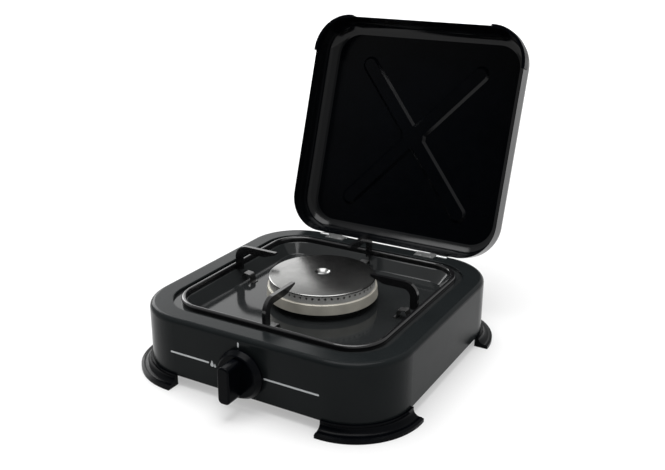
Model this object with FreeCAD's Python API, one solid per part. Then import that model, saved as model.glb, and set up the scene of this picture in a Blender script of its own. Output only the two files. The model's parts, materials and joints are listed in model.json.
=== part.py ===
"""Single-burner table gas cooker with a hinged lid.

Frame: +X to the user's right, -Y towards the user (knob side), +Y towards the hinges, +Z up.
The origin is the centre of the body's footprint, on the table. The lid is built closed and
then turned back about its hinge pins to the open stand that the cooker rests in.
"""
import FreeCAD, Part
import math
import os

V = FreeCAD.Vector
X_AXIS = V(1, 0, 0)
Y_AXIS = V(0, 1, 0)
Z_AXIS = V(0, 0, 1)
SIDES = (-1, 1)
SIDE_NAMES = {-1: "left", 1: "right"}
FREE = 0.3             # clearance between pieces that move past each other
RUN = 0.05             # radial running clearance of a shaft
OVER = 1.0             # how far a cutting solid runs past a face

# Body pressing
BODY_W = 280.0
BODY_D = 280.0
BODY_TOP = 70.0        # top face above the table
BODY_LOW = 10.0        # lower edge above the table
BODY_R = 58.0
BODY_FOLD = 5.0        # outside radius of the fold into the top face
SHEET = 0.8
RETURN_W = 12.0        # inward flange along the lower edge
RIM_W = 21.5           # width of the top face's border round its opening
OPENING_R = 40.0
LIP_H = 1.8            # turned-down edge of the opening
TOP_IN = 12.0          # how far inside the body's outline the flat of the top face starts

# Drip tray
TRAY_FLANGE = 5.5      # how far its flange runs out under the top face
TRAY_STEP = 1.2        # its wall stands back this far behind the opening's edge
LEDGE_Z = 66.7         # shelf that the pan support rests on
LEDGE_W = 12.5
FLOOR_Z = 55.0
SLOPE_RUN = 11.0
TRAY_HOLE_R = 37.0

# Pan support
GRID_GAP = 6.5         # space round the loop inside the opening
GRID_R = 36.0
BAR_W = 5.0
BAR_TOP = 72.2
BAR_ROUND = 2.4
FINGER_TOP = 94.4
FINGER_T = 4.0
FINGER_TIP_R = 55.3    # distance of the tips from the centre
FINGER_ARM = 7.4       # depth of the arm
FINGER_LEG = 7.8       # depth of the leg
FINGER_BEND = 14.0     # radius over the bend
FINGER_CROOK = 8.0     # radius under the bend
TIP_RUN = 15.0         # length of the tapered tip
TIP_H = 2.2

# Clips that hold the pan support in place
CLIP_IN = 35.5         # clip's inner end, in from the opening's edge
CLIP_W = 9.0
CLIP_T = 0.8
CLIP_RISE = 9.4
CLIP_SPAN = 14.0

# Burner
RING_OUT = 3.4         # how far the outer ring stands out beyond the crown
RING_TAPER = 0.9
RING_LOW = 62.3
RING_TOP = 72.7
CUP_R = 47.0
CUP_WALL = 4.0
CROWN_R = 53.6
CROWN_WALL = 4.0
CROWN_TOP = 80.6
PORTS = 54
PORT_R = 1.25
PORT_Z = 77.8
CAP_OVER = 0.8         # how far the cap reaches past the crown
CAP_EDGE = 1.3
CAP_DOME = 3.4
CAP_SCREW_R = 4.6
CAP_SCREW_RISE = 0.5   # how far the screw's head domes above its rim
CAP_SLOT_W = 1.5
CAP_SLOT_H = 1.1
DISH = 3.6             # depth of the dish that seats the screw's head
DISH_R = 7.8
SPOKES = 3
SPOKE_W = 5.0
HUB_R = 7.0
HUB_TOP = 78.4

# Gas way
KNOB_X = -2.0
KNOB_Z = 35.5
TUBE_R = 9.0
TUBE_WALL = 1.5
TUBE_MOUTH_Y = -66.0
TUBE_END_Y = 12.0
NECK_R = 13.0
SHUTTER_L = 16.0
WINDOW_L = 8.0         # air window along the sleeve
WINDOW_H = 9.0
INJECTOR_R = 5.0
INJECTOR_TIP_Y = -70.0
VALVE_R = 11.0
VALVE_L = 25.0
VALVE_PLATE = 2.0
VALVE_PLATE_W = 44.0
VALVE_PLATE_H = 18.0
OUTLET_L = 12.0
INLET_BOSS_R = 6.5
INLET_BOSS_L = 21.0
STEM_R = 3.0
STEM_FLAT = 2.2        # distance of the stem's flat from its axis
STEM_STOP = 4.0         # wall left behind the stem's bore
STEM_COVER = 8.0       # how far the stem's end stays inside the grip
COLLAR_T = 1.0
SEAT_T = 1.2
CHAMBER_R = 5.2
CHAMBER_L = 12.0
PUSH_TRAVEL = 2.8
PIPE_R = 4.0
PIPE_BEND = 22.0
PIPE_X = -68.0
THREAD_R = 6.6
SPIGOT_R = 4.5
SPIGOT_L = 20.0
INLET_HEX = 17.0       # across the flats
INLET_HEX_L = 6.0
NUT_HEX = 19.0
NUT_L = 5.0
THREAD_L = 8.0         # thread standing out from the rear wall

# Knob
SKIRT_R = 24.1
SKIRT_GAP = 3.2        # space to the panel, taken up when the knob is pushed
DISC_R = 20.6
DISC_OUT = 10.3        # disc's front face, out from the panel
GRIP_OUT = 30.4
GRIP_T = 12.5
GRIP_H = 36.4
GRIP_END_R = 4.5       # rounding of its ends, seen from the front
GRIP_EDGE = 1.8        # rounding of its front face
HUB_WALL = 3.0

# Feet
FOOT_OUT = 12.4        # how far the foot's flange stands out from the body
FOOT_EDGE = 3.4
FOOT_IN = 14.0         # how far the screwed pad reaches in under the body
FOOT_RING_IN = 2.0     # how far the outer ring does
PAD_SKIP = 14.0        # angle between the end of the corner's arc and the pad
FOOT_LIP = 2.4         # height of the bead that wraps the body's lower edge
FOOT_LIP_T = 1.9
FOOT_RUN = 1.5         # straight length past the corner's arc
FOOT_SCREW_IN = 7.0

# Lid and hinges
LID_SIDE_IN = 11.3     # closed lid's side walls, in from the body's sides
LID_FRONT_IN = 15.7
LID_BACK_IN = 2.6      # closed lid's rear face, in front of the hinge pins
LID_R = 41.0
LID_H = 35.5
LID_FOLD = 17.2        # inside radius of the fold at the edge of the lid's top
CREASE_IN = 14.5       # where the fold meets the flat top in a crease, in from the wall
CREASE_DROP = 5.3
LID_OPEN = 108.0
LID_RIM = 73.0         # rim of the closed lid
BEAD_W = 20.0
BEAD_H = 2.4
BEAD_SLOPE = 3.0
BEAD_REACH = (70.0, 80.0)
BEAD_BACK = 1.5        # the cross lies this far behind the lid's middle
BEAD_BOSS_R = 16.0     # round boss where its arms meet
BEAD_SHEET = 0.7       # how much narrower the bead is on its hollow side
BUMPER_T = 1.4
BUMPER_UP = 9.0
BUMPER_LOW = 2.7
BUMPER_RUN = 2.0
HINGE_IN = 5.5         # pins, in from the body's rear face
HINGE_Z = 68.7
PIN_R = 1.25
LEAF_T = 1.0
LEAF_X = 45.5          # inner end of each hinge, from the middle
LEAF_W = 23.0
LEAF_D = 12.0          # from the pins to the body leaf's front edge
LEAF_RIVET_IN = 7.2
LID_LEAF_W = 11.2
LID_LEAF_UP = 16.0
RIVET_R = 1.5
RIVET_HEAD_R = 2.4
RIVET_HEAD_H = 0.9


# Drawing helpers

def point(u, z):
    """A point of a profile: u outward, z up."""
    return V(u, 0, z)


def line(a, b):
    """A straight edge."""
    return Part.LineSegment(a, b).toShape()


def corner_arc(before, corner, after, radius):
    """The tangent arc that rounds a corner, with its two end points."""
    to_before = (before - corner).normalize()
    to_after = (after - corner).normalize()
    half = to_before.getAngle(to_after) / 2
    setback = radius / math.tan(half)
    start = corner + to_before * setback
    end = corner + to_after * setback
    inward = (to_before + to_after).normalize()
    middle = corner + inward * (radius / math.sin(half) - radius)
    return start, Part.Arc(start, middle, end).toShape(), end


def rounded_edges(points, radii):
    """Edges through the points, rounded at each inner point."""
    edges = []
    here = points[0]
    for i in range(1, len(points) - 1):
        start, arc, end = corner_arc(points[i - 1], points[i], points[i + 1], radii[i - 1])
        if here.distanceToPoint(start) > 1e-6:
            edges.append(line(here, start))
        edges.append(arc)
        here = end
    edges.append(line(here, points[-1]))
    return edges


def left_turn(before, corner, after):
    """True where the path turns left at the corner."""
    first = corner - before
    second = after - corner
    return first.x * second.z - first.z * second.x > 0


def offset_points(points, distance):
    """The path moved to its left by a distance, mitred at its corners."""
    normals = []
    for a, b in zip(points, points[1:]):
        along = (b - a).normalize()
        normals.append(V(-along.z, 0, along.x))
    moved = [points[0] + normals[0] * distance]
    for i in range(1, len(points) - 1):
        both = normals[i - 1] + normals[i]
        mitre = both.normalize() * (distance / math.cos(normals[i - 1].getAngle(normals[i]) / 2))
        moved.append(points[i] + mitre)
    moved.append(points[-1] + normals[-1] * distance)
    return moved


def sheet_face(points, bends, thickness):
    """Section of a bent sheet: the path is one face, the metal lies to its left.

    Each bend is the radius on the inside of the corner.
    """
    other = offset_points(points, thickness)
    near = []
    far = []
    for i, bend in enumerate(bends):
        left = left_turn(points[i], points[i + 1], points[i + 2])
        near.append(bend + thickness if left else bend)
        far.append(bend if left else bend + thickness)
    edges = rounded_edges(points, near)
    edges.append(line(points[-1], other[-1]))
    edges += rounded_edges(other, far)
    edges.append(line(other[0], points[0]))
    return Part.Face(Part.Wire(Part.__sortEdges__(edges)))


def polygon_face(points):
    """A flat face through a closed run of points."""
    return Part.Face(Part.makePolygon(list(points) + [points[0]]))


def swept_round(face, width, depth, radius):
    """Carries a section round a rounded rectangle; u = 0 runs along its side."""
    pieces = []
    ways = (V(-1, 0, 0), V(0, -1, 0), V(1, 0, 0), V(0, 1, 0))
    corners = ((1, 1), (-1, 1), (-1, -1), (1, -1))
    for quarter, (sx, sy) in enumerate(corners):
        centre = V(sx * (width / 2 - radius), sy * (depth / 2 - radius), 0)
        section = face.copy()
        section.translate(V(radius, 0, 0))
        section.rotate(V(0, 0, 0), Z_AXIS, 90 * quarter)
        section.translate(centre)
        pieces.append(section.revolve(centre, Z_AXIS, 90))
        end = section.copy()
        end.rotate(centre, Z_AXIS, 90)
        run = (width if quarter % 2 == 0 else depth) - 2 * radius
        pieces.append(end.extrude(ways[quarter] * run))
    return pieces[0].multiFuse(pieces[1:]).removeSplitter()


def corner_section(face, width, depth, radius, sx, sy):
    """The section at the start of one corner, with the corner's centre and its quarter."""
    centre = V(sx * (width / 2 - radius), sy * (depth / 2 - radius), 0)
    quarter = {(1, 1): 0, (-1, 1): 1, (-1, -1): 2, (1, -1): 3}[(sx, sy)]
    section = face.copy()
    section.translate(V(radius, 0, 0))
    section.rotate(V(0, 0, 0), Z_AXIS, 90 * quarter)
    section.translate(centre)
    return section, centre, quarter


def corner_piece(face, width, depth, radius, sx, sy, run):
    """The same sweep round one corner only, with a short straight run at each end."""
    section, centre, quarter = corner_section(face, width, depth, radius, sx, sy)
    end = section.copy()
    end.rotate(centre, Z_AXIS, 90)
    turn = FreeCAD.Rotation(Z_AXIS, 90 * quarter)
    before = section.extrude(turn.multVec(V(0, -run, 0)))
    after = end.extrude(turn.multVec(V(-run, 0, 0)))
    arc = section.revolve(centre, Z_AXIS, 90)
    return arc.multiFuse([before, after]).removeSplitter()


def rounded_plate(width, depth, radius, low, high):
    """A flat plate with rounded corners."""
    box = Part.makeBox(width, depth, high - low, V(-width / 2, -depth / 2, low))
    upright = [e for e in box.Edges if abs(e.tangentAt(e.FirstParameter).z) > 0.99]
    return box.makeFillet(radius, upright)


def rod(radius, start, end):
    """A round bar between two points."""
    return Part.makeCylinder(radius, start.distanceToPoint(end), start, end - start)


def tube(outer, inner, start, end):
    """A round tube between two points."""
    return rod(outer, start, end).cut(rod(inner, start, end))


def turned(points, centre=V(0, 0, 0)):
    """A solid of revolution about an upright axis; the points are (radius, height)."""
    face = polygon_face([point(r, z) for r, z in points])
    face.translate(centre)
    return face.revolve(centre, Z_AXIS, 360)


def turned_y(points, x, z):
    """A solid of revolution about an axis along Y; the points are (radius, y)."""
    face = polygon_face([V(r, y, 0) for r, y in points])
    solid = face.revolve(V(0, 0, 0), Y_AXIS, 360)
    solid.translate(V(x, 0, z))
    return solid


def hexagon(across, start, length):
    """A hexagonal bar along Y."""
    corner = across / math.sqrt(3)
    ring = []
    for i in range(6):
        angle = math.radians(60 * i)
        ring.append(start + V(corner * math.cos(angle), 0, corner * math.sin(angle)))
    return polygon_face(ring).extrude(V(0, length, 0))


# Derived places

OPENING_W = BODY_W - 2 * RIM_W
OPENING_D = BODY_D - 2 * RIM_W
GRID_W = OPENING_W - 2 * GRID_GAP
GRID_D = OPENING_D - 2 * GRID_GAP
SUPPORT_LOW = LEDGE_Z + FREE
FRONT_FACE = -BODY_D / 2
BACK_FACE = BODY_D / 2
KNUCKLE_R = PIN_R + RUN + LEAF_T
HINGE_Y = BACK_FACE - HINGE_IN
LEAF_FRONT = HINGE_Y - LEAF_D
LID_BACK = HINGE_Y - LID_BACK_IN
LID_FRONT = FRONT_FACE + LID_FRONT_IN
LID_D = LID_BACK - LID_FRONT
LID_W = BODY_W - 2 * LID_SIDE_IN
HINGE = V(0, HINGE_Y, HINGE_Z)
LID_MIDDLE = (LID_FRONT + LID_BACK) / 2
SLOT_FRONT = HINGE_Y - KNUCKLE_R - 1.3
SLOT_BACK = BACK_FACE - SHEET
SLOT_END = 1.0         # how far the slot runs past each end of the hinge
HINGE_L = LEAF_W + FREE + LID_LEAF_W
VALVE_FRONT = FRONT_FACE + SHEET
VALVE_BACK = VALVE_FRONT + VALVE_L
VALVE_NOSE = 1.4       # how far the valve's nose comes out of the panel
VALVE_SCREW_X = 15.0
RING_R = CROWN_R + RING_OUT
RING_TOP_R = RING_R - RING_TAPER
CAP_R = CROWN_R + CAP_OVER
NOSE_R = CHAMBER_R + 1.4
NECK_LOW = KNOB_Z + TUBE_R + 1.0
CHAMBER_START = FRONT_FACE - VALVE_NOSE + 1.5
CHAMBER_END = VALVE_FRONT + CHAMBER_L
SEAT_START = CHAMBER_START + COLLAR_T + 2 * RUN
SPRING_START = SEAT_START + SEAT_T + RUN
STEM_FRONT = FRONT_FACE - GRIP_OUT + STEM_COVER
BODY_LEAF_RIVET_Y = HINGE_Y - LEAF_RIVET_IN
LID_RIVET_Z = LID_RIM + 11.0
CORNER = V(BODY_W / 2 - BODY_R, BODY_D / 2 - BODY_R, 0)
FOOT_SCREW_R = 1.5
FOOT_HEAD_R = 3.4
FOOT_HEAD_LOW = 2.5
FOOT_HEAD_H = 2.5
SMALL_SCREW_R = 1.5
SMALL_HEAD_R = 2.8
SMALL_HEAD_H = 1.4
NUT_H = 2.4
BURNER_SCREW_PCD = 41.5


def foot_screw_places():
    """Where the feet are screwed on: on each corner's diagonal."""
    reach = (BODY_R - FOOT_SCREW_IN) / math.sqrt(2)
    return [V(sx * (CORNER.x + reach), sy * (CORNER.y + reach), 0) for sx in SIDES for sy in SIDES]


def leaf_rivet_places(side):
    """The body leaf's rivets, along X."""
    return [side * (LEAF_X + LEAF_W * share) for share in (0.25, 0.75)]


def lid_rivet_places(side):
    """The lid leaf's rivets, along X."""
    end = LEAF_X + HINGE_L
    return [side * (end - 6.0), side * (end - 17.0)]


def opened(shape):
    """Turns a piece of the closed lid back to the open stand."""
    shape.rotate(HINGE, X_AXIS, -LID_OPEN)
    return shape


# Body

def body_shell():
    """Pressed steel body: skirt, folded top face with a square opening, lower return flange."""
    lap = TOP_IN + 2
    path = [point(-RETURN_W, BODY_LOW), point(0, BODY_LOW), point(0, BODY_TOP), point(-lap, BODY_TOP)]
    skirt = swept_round(sheet_face(path, [0.8, BODY_FOLD - SHEET], SHEET), BODY_W, BODY_D, BODY_R)
    inset = 2 * TOP_IN
    top = rounded_plate(BODY_W - inset, BODY_D - inset, BODY_R - TOP_IN, BODY_TOP - SHEET, BODY_TOP)
    hole = rounded_plate(OPENING_W + 4, OPENING_D + 4, OPENING_R + 2, BODY_TOP - 5, BODY_TOP + 5)
    edge = [point(6, BODY_TOP), point(0, BODY_TOP), point(0, BODY_TOP - LIP_H)]
    lip = swept_round(sheet_face(edge, [0.7], SHEET), OPENING_W, OPENING_D, OPENING_R)
    shell = skirt.fuse(top.cut(hole)).fuse(lip).removeSplitter()
    return shell.cut(shell_cuts())


def shell_cuts():
    """The body's holes: valve nose, valve screws, gas inlet, hinge slots, rivets, foot screws."""
    cuts = []
    front = V(KNOB_X, FRONT_FACE - OVER, KNOB_Z)
    through = V(0, SHEET + 2 * OVER, 0)
    cuts.append(rod(NOSE_R + FREE, front, front + through))
    for side in SIDES:
        place = front + V(side * VALVE_SCREW_X, 0, 0)
        cuts.append(rod(SMALL_SCREW_R + 0.1, place, place + through))
    back = V(PIPE_X, BACK_FACE - SHEET - OVER, KNOB_Z)
    cuts.append(rod(THREAD_R + 0.1, back, back + through))
    for side in SIDES:
        near = LEAF_X - SLOT_END
        length = HINGE_L + 2 * SLOT_END
        left = near if side > 0 else -near - length
        corner = V(left, SLOT_FRONT, BODY_TOP - 4)
        cuts.append(Part.makeBox(length, SLOT_BACK - SLOT_FRONT, 4 + OVER, corner))
        for x in leaf_rivet_places(side):
            place = V(x, BODY_LEAF_RIVET_Y, BODY_TOP - SHEET - OVER)
            cuts.append(rod(RIVET_R + RUN, place, place + V(0, 0, SHEET + 2 * OVER)))
    for place in foot_screw_places():
        low = place + V(0, 0, BODY_LOW - OVER)
        cuts.append(rod(FOOT_SCREW_R + RUN, low, low + V(0, 0, SHEET + 2 * OVER)))
    return cuts


def drip_tray():
    """Pressed tray under the opening: flange, ledge for the pan support, slope and floor."""
    under = BODY_TOP - SHEET
    floor_u = -LEDGE_W - SLOPE_RUN
    path = [
        point(TRAY_FLANGE, under),
        point(TRAY_STEP, under),
        point(TRAY_STEP, LEDGE_Z),
        point(-LEDGE_W, LEDGE_Z),
        point(floor_u, FLOOR_Z),
        point(floor_u - 12, FLOOR_Z),
    ]
    rim = swept_round(sheet_face(path, [0.3, 0.5, 2.0, 3.0], SHEET), OPENING_W, OPENING_D, OPENING_R)
    reach = floor_u - 8
    wide = OPENING_W + 2 * reach
    deep = OPENING_D + 2 * reach
    floor = rounded_plate(wide, deep, OPENING_R + reach, FLOOR_Z - SHEET, FLOOR_Z)
    tray = rim.fuse(floor).removeSplitter()
    cuts = [rod(TRAY_HOLE_R, V(0, 0, FLOOR_Z - 3), V(0, 0, FLOOR_Z + 3))]
    for side in SIDES:
        place = V(side * BURNER_SCREW_PCD, 0, FLOOR_Z - 3)
        cuts.append(rod(SMALL_SCREW_R + RUN, place, place + V(0, 0, 6)))
    return tray.cut(cuts)


def foot_face():
    """Section of a corner foot's outer ring: bead, hollow cove, flat flange."""
    top = point(FREE + FOOT_LIP_T, BODY_LOW + FOOT_LIP)
    neck = point(FREE + FOOT_LIP_T, BODY_LOW - 0.6)
    shelf = point(FOOT_OUT - 2.6, FOOT_EDGE + 0.9)
    rim = point(FOOT_OUT, FOOT_EDGE)
    middle = point(FREE + FOOT_LIP_T + 2.2, FOOT_EDGE + 2.3)
    edges = [
        line(point(-FOOT_RING_IN, 0), point(FOOT_OUT, 0)),
        line(point(FOOT_OUT, 0), rim),
        line(rim, shelf),
        Part.Arc(shelf, middle, neck).toShape(),
        line(neck, top),
        line(top, point(FREE, BODY_LOW + FOOT_LIP)),
        line(point(FREE, BODY_LOW + FOOT_LIP), point(FREE, BODY_LOW)),
        line(point(FREE, BODY_LOW), point(-FOOT_RING_IN, BODY_LOW)),
        line(point(-FOOT_RING_IN, BODY_LOW), point(-FOOT_RING_IN, 0)),
    ]
    return Part.Face(Part.Wire(Part.__sortEdges__(edges)))


def foot_pad(sx, sy):
    """The foot's pad under the body, set back from the ends of its outer ring."""
    face = polygon_face([
        point(-FOOT_IN, 0),
        point(-FOOT_RING_IN, 0),
        point(-FOOT_RING_IN, BODY_LOW),
        point(-FOOT_IN, BODY_LOW),
    ])
    section, centre, _ = corner_section(face, BODY_W, BODY_D, BODY_R, sx, sy)
    section.rotate(centre, Z_AXIS, PAD_SKIP)
    return section.revolve(centre, Z_AXIS, 90 - 2 * PAD_SKIP)


def foot(sx, sy):
    """Plastic foot that wraps one lower corner of the body."""
    ring = corner_piece(foot_face(), BODY_W, BODY_D, BODY_R, sx, sy, FOOT_RUN)
    solid = ring.fuse(foot_pad(sx, sy)).removeSplitter()
    reach = (BODY_R - FOOT_SCREW_IN) / math.sqrt(2)
    place = V(sx * (CORNER.x + reach), sy * (CORNER.y + reach), -OVER)
    hole = rod(FOOT_SCREW_R + RUN, place, place + V(0, 0, BODY_LOW + 2 * OVER))
    well = rod(FOOT_HEAD_R + 0.4, place, place + V(0, 0, OVER + FOOT_HEAD_LOW + FOOT_HEAD_H))
    return solid.cut([hole, well])


def foot_screws():
    """The four screws that hold the feet."""
    screws = []
    for place in foot_screw_places():
        head_low = place + V(0, 0, FOOT_HEAD_LOW)
        head = rod(FOOT_HEAD_R, head_low, head_low + V(0, 0, FOOT_HEAD_H))
        shank = rod(FOOT_SCREW_R, head_low, place + V(0, 0, BODY_LOW + 4))
        screws.append(head.fuse(shank))
    return Part.makeCompound(screws)


# Pan support

def pan_frame():
    """Square wire loop with rounded top edges."""
    low = SUPPORT_LOW
    high = BAR_TOP
    points = [point(0, low), point(0, high), point(-BAR_W, high), point(-BAR_W, low)]
    edges = rounded_edges(points, [BAR_ROUND, BAR_ROUND])
    edges.append(line(points[-1], points[0]))
    face = Part.Face(Part.Wire(Part.__sortEdges__(edges)))
    return swept_round(face, GRID_W, GRID_D, GRID_R)


def finger_face(outer):
    """Side view of a finger: leg, bend and arm that tapers to a blunt tip."""
    inner = outer - FINGER_LEG
    under = FINGER_TOP - FINGER_ARM
    taper = FINGER_TIP_R + TIP_RUN
    path = [
        point(outer, SUPPORT_LOW),
        point(outer, FINGER_TOP),
        point(FINGER_TIP_R, FINGER_TOP),
        point(FINGER_TIP_R + 0.6, FINGER_TOP - TIP_H),
        point(taper, under),
        point(inner, under),
        point(inner, SUPPORT_LOW),
    ]
    edges = rounded_edges(path, [FINGER_BEND, 0.8, 0.8, 12.0, FINGER_CROOK])
    edges.append(line(path[-1], path[0]))
    return Part.Face(Part.Wire(Part.__sortEdges__(edges)))


def finger(angle):
    """One finger, turned to its side of the loop; it is welded to the loop's inner face."""
    across = GRID_W if angle % 180 == 0 else GRID_D
    face = finger_face(across / 2 - BAR_W)
    face.translate(V(0, -FINGER_T / 2, 0))
    solid = face.extrude(V(0, FINGER_T, 0))
    solid.rotate(V(0, 0, 0), Z_AXIS, angle)
    return solid


def grid_clip(angle):
    """Bent strip on the tray floor that keeps the pan support from sliding."""
    across = OPENING_W if angle % 180 == 0 else OPENING_D
    start = across / 2 - CLIP_IN
    path = [
        point(start + CLIP_SPAN, FLOOR_Z + CLIP_RISE - 4.5),
        point(start + CLIP_SPAN - 1.5, FLOOR_Z + CLIP_RISE),
        point(start + 4.5, FLOOR_Z + CLIP_RISE - 1.2),
        point(start + 3.5, FLOOR_Z),
        point(start, FLOOR_Z),
    ]
    path.reverse()
    solid = sheet_face(path, [0.8, 1.2, 1.2], CLIP_T).extrude(V(0, CLIP_W, 0))
    solid.translate(V(0, -CLIP_W / 2, 0))
    solid.rotate(V(0, 0, 0), Z_AXIS, angle)
    return solid


# Burner

def burner_cup():
    """Cast cup that hangs in the tray's hole and feeds the ports."""
    outer = TRAY_HOLE_R - 0.5
    floor = NECK_LOW + 5
    wall = CUP_R - CUP_WALL
    points = [
        (TUBE_R - TUBE_WALL, NECK_LOW),
        (NECK_R, NECK_LOW),
        (NECK_R, floor - 3),
        (outer, floor - 1),
        (outer, FLOOR_Z),
        (CUP_R, FLOOR_Z),
        (CUP_R, RING_LOW),
        (wall, RING_LOW),
        (wall, FLOOR_Z + 2),
        (outer - 3, FLOOR_Z + 1),
        (outer - 3, floor + 2),
        (TUBE_R - TUBE_WALL, floor + 1),
    ]
    cup = turned(points)
    cuts = []
    for side in SIDES:
        place = V(side * BURNER_SCREW_PCD, 0, FLOOR_Z - OVER)
        cuts.append(rod(SMALL_SCREW_R + RUN, place, place + V(0, 0, 5)))
    return cup.cut(cuts)


def burner_screws():
    """Two screws through the cup's flange and the tray."""
    screws = []
    for side in SIDES:
        place = V(side * BURNER_SCREW_PCD, 0, 0)
        under = FLOOR_Z - SHEET
        shank = rod(SMALL_SCREW_R, place + V(0, 0, under - NUT_H), place + V(0, 0, FLOOR_Z + 2))
        nut = rod(SMALL_HEAD_R, place + V(0, 0, under - NUT_H), place + V(0, 0, under))
        screws.append(shank.fuse(nut))
    return Part.makeCompound(screws)


def burner_ring():
    """Broad outer ring under the ports."""
    return turned([
        (CUP_R - CUP_WALL, RING_LOW),
        (RING_R, RING_LOW),
        (RING_TOP_R, RING_TOP - 0.8),
        (RING_TOP_R - 0.8, RING_TOP),
        (CROWN_R - CROWN_WALL - 1.5, RING_TOP),
        (CROWN_R - CROWN_WALL - 1.5, RING_LOW + 3.5),
        (CUP_R - CUP_WALL, RING_LOW + 3.5),
    ])


def burner_crown():
    """Ring with the flame ports, tied to a small hub by spokes."""
    inner = CROWN_R - CROWN_WALL
    ring = turned([
        (inner, RING_TOP),
        (CROWN_R + 0.6, RING_TOP),
        (CROWN_R, CROWN_TOP),
        (inner, CROWN_TOP),
    ])
    hub = rod(HUB_R, V(0, 0, RING_TOP), V(0, 0, HUB_TOP))
    spokes = []
    for i in range(SPOKES):
        spoke = Part.makeBox(inner + 1, SPOKE_W, 3.0, V(0, -SPOKE_W / 2, RING_TOP))
        spoke.rotate(V(0, 0, 0), Z_AXIS, 360 * i / SPOKES)
        spokes.append(spoke)
    crown = ring.multiFuse([hub] + spokes).removeSplitter()
    cuts = [rod(STEM_R + RUN, V(0, 0, RING_TOP - OVER), V(0, 0, HUB_TOP + OVER))]
    for i in range(PORTS):
        angle = math.radians(360 * (i + 0.5) / PORTS)
        out = V(math.cos(angle), math.sin(angle), 0)
        height = V(0, 0, PORT_Z)
        cuts.append(rod(PORT_R, out * (inner - OVER) + height, out * (CROWN_R + 2) + height))
    return crown.cut(cuts)


def burner_cap():
    """Slightly domed lid of the burner with a dished centre for its screw."""
    edge_top = CROWN_TOP + CAP_EDGE
    dome_top = edge_top + CAP_DOME
    spigot = CROWN_R - CROWN_WALL - FREE
    low = CROWN_TOP - 1.4
    start = point(CAP_R - 0.7, edge_top + 0.2)
    end = point(DISH_R, dome_top)
    middle = point((start.x + end.x) * 0.55, edge_top + CAP_DOME * 0.72)
    outline = [
        point(DISH_R, dome_top),
        point(STEM_R + RUN, dome_top - DISH),
        point(STEM_R + RUN, low),
        point(spigot, low),
        point(spigot, CROWN_TOP),
        point(CAP_R, CROWN_TOP),
        point(CAP_R, edge_top - 0.2),
        start,
    ]
    edges = [line(a, b) for a, b in zip(outline, outline[1:])]
    edges.append(Part.Arc(start, middle, end).toShape())
    face = Part.Face(Part.Wire(Part.__sortEdges__(edges)))
    return face.revolve(V(0, 0, 0), Z_AXIS, 360)


def cap_screw():
    """Countersunk screw with a domed, slotted head that holds the cap to the crown's hub."""
    dome_top = CROWN_TOP + CAP_EDGE + CAP_DOME
    base = dome_top - DISH
    rim = base + (CAP_SCREW_R - STEM_R) * DISH / (DISH_R - STEM_R - RUN)
    top = rim + CAP_SCREW_RISE
    outline = [
        point(0, top),
        point(0, RING_TOP + 1),
        point(STEM_R, RING_TOP + 1),
        point(STEM_R, base),
        point(CAP_SCREW_R, rim),
    ]
    edges = [line(a, b) for a, b in zip(outline, outline[1:])]
    shoulder = point(CAP_SCREW_R * 0.6, rim + CAP_SCREW_RISE * 0.64)
    edges.append(Part.Arc(outline[-1], shoulder, outline[0]).toShape())
    face = Part.Face(Part.Wire(Part.__sortEdges__(edges)))
    screw = face.revolve(V(0, 0, 0), Z_AXIS, 360)
    length = 2 * CAP_SCREW_R + 2
    corner = V(-length / 2, -CAP_SLOT_W / 2, top - CAP_SLOT_H)
    return screw.cut(Part.makeBox(length, CAP_SLOT_W, CAP_SLOT_H + OVER, corner))


# Gas way

def mixing_tube():
    """Tube that mixes gas and air, from its flared mouth to the socket under the cup."""
    axis = V(KNOB_X, 0, KNOB_Z)
    bore = TUBE_R - TUBE_WALL
    outside = [
        rod(TUBE_R, axis + V(0, TUBE_MOUTH_Y, 0), axis + V(0, TUBE_END_Y, 0)),
        rod(NECK_R, V(0, 0, KNOB_Z), V(0, 0, NECK_LOW)),
        rod(TUBE_R + 3, axis + V(0, TUBE_MOUTH_Y, 0), axis + V(0, TUBE_MOUTH_Y + 3, 0)),
    ]
    inside = [
        rod(bore, axis + V(0, TUBE_MOUTH_Y - OVER, 0), axis + V(0, TUBE_END_Y - TUBE_WALL, 0)),
        rod(bore - 0.5, V(0, 0, KNOB_Z), V(0, 0, NECK_LOW + OVER)),
    ]
    body = outside[0].multiFuse(outside[1:]).removeSplitter()
    return body.cut(inside)


def air_shutter():
    """Sleeve with air windows between the injector and the mixing tube's mouth."""
    axis = V(KNOB_X, 0, KNOB_Z)
    back = TUBE_MOUTH_Y
    front = back - SHUTTER_L
    sleeve = tube(TUBE_R + 3, TUBE_R + 1.8, axis + V(0, front, 0), axis + V(0, back, 0))
    end = tube(TUBE_R + 3, INJECTOR_R + RUN, axis + V(0, front, 0), axis + V(0, front + 1.2, 0))
    solid = sleeve.fuse(end).removeSplitter()
    reach = TUBE_R + 3 + OVER
    corner = V(KNOB_X - reach, (front + back - WINDOW_L) / 2, KNOB_Z - WINDOW_H / 2)
    return solid.cut(Part.makeBox(2 * reach, WINDOW_L, WINDOW_H, corner))


def injector():
    """Brass jet screwed into the valve's outlet."""
    axis = V(KNOB_X, 0, KNOB_Z)
    start = VALVE_BACK + OUTLET_L
    stem = rod(INJECTOR_R, axis + V(0, start, 0), axis + V(0, INJECTOR_TIP_Y, 0))
    head = hexagon(11.0, axis + V(0, start, 0), 5.0)
    bore = rod(0.8, axis + V(0, start - OVER, 0), axis + V(0, INJECTOR_TIP_Y + OVER, 0))
    return stem.fuse(head).removeSplitter().cut(bore)


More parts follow.
